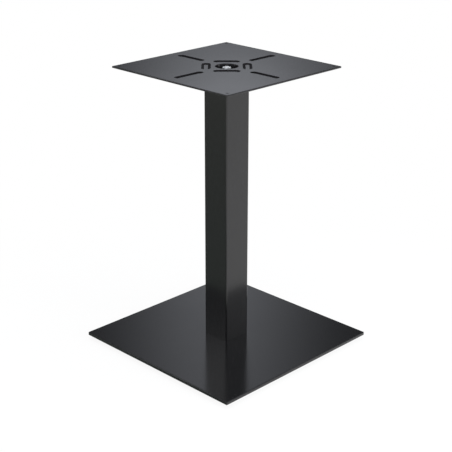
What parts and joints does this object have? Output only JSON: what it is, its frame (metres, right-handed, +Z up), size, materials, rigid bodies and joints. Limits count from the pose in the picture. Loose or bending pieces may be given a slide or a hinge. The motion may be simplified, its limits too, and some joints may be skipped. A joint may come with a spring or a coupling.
{
  "type": "table leg",
  "caption": "Pedestal table leg: square steel column on a flat square base plate, with a pressed square top plate to screw under a table top; black powder coat, levelling feet.",
  "frame": {"origin": "on the floor, under the middle of the column", "axes": "+Z up along the column, X and Y square to the sides of the plates"},
  "size_m": [0.5, 0.5, 0.712],
  "materials": {
    "black_coat": "satin black powder coat",
    "zinc": "bright zinc plating",
    "block_steel": "sawn and zinc primed",
    "pad_plastic": "moulded, fine matt"
  },
  "bodies": {
    "leg": {"base_plate": "black_coat", "foot_block": "block_steel", "column": "black_coat", "top_plate": "black_coat", "tie_rod": "zinc", "top_washer": "zinc", "top_nut": "zinc", "low_washer": "zinc", "low_nut": "zinc"},
    "foot_1": {"foot_stud_1": "zinc", "foot_pad_1": "pad_plastic"},
    "foot_2": {"foot_stud_2": "zinc", "foot_pad_2": "pad_plastic"},
    "foot_3": {"foot_stud_3": "zinc", "foot_pad_3": "pad_plastic"},
    "foot_4": {"foot_stud_4": "zinc", "foot_pad_4": "pad_plastic"}
  },
  "joints": [
    {"name": "foot_1_level", "type": "slide", "parent": "leg", "child": "foot_1", "axis": [0, 0, -1], "range_m": [-0.001, 0.003]},
    {"name": "foot_2_level", "type": "slide", "parent": "leg", "child": "foot_2", "axis": [0, 0, -1], "range_m": [-0.001, 0.003]},
    {"name": "foot_3_level", "type": "slide", "parent": "leg", "child": "foot_3", "axis": [0, 0, -1], "range_m": [-0.001, 0.003]},
    {"name": "foot_4_level", "type": "slide", "parent": "leg", "child": "foot_4", "axis": [0, 0, -1], "range_m": [-0.001, 0.003]}
  ]
}
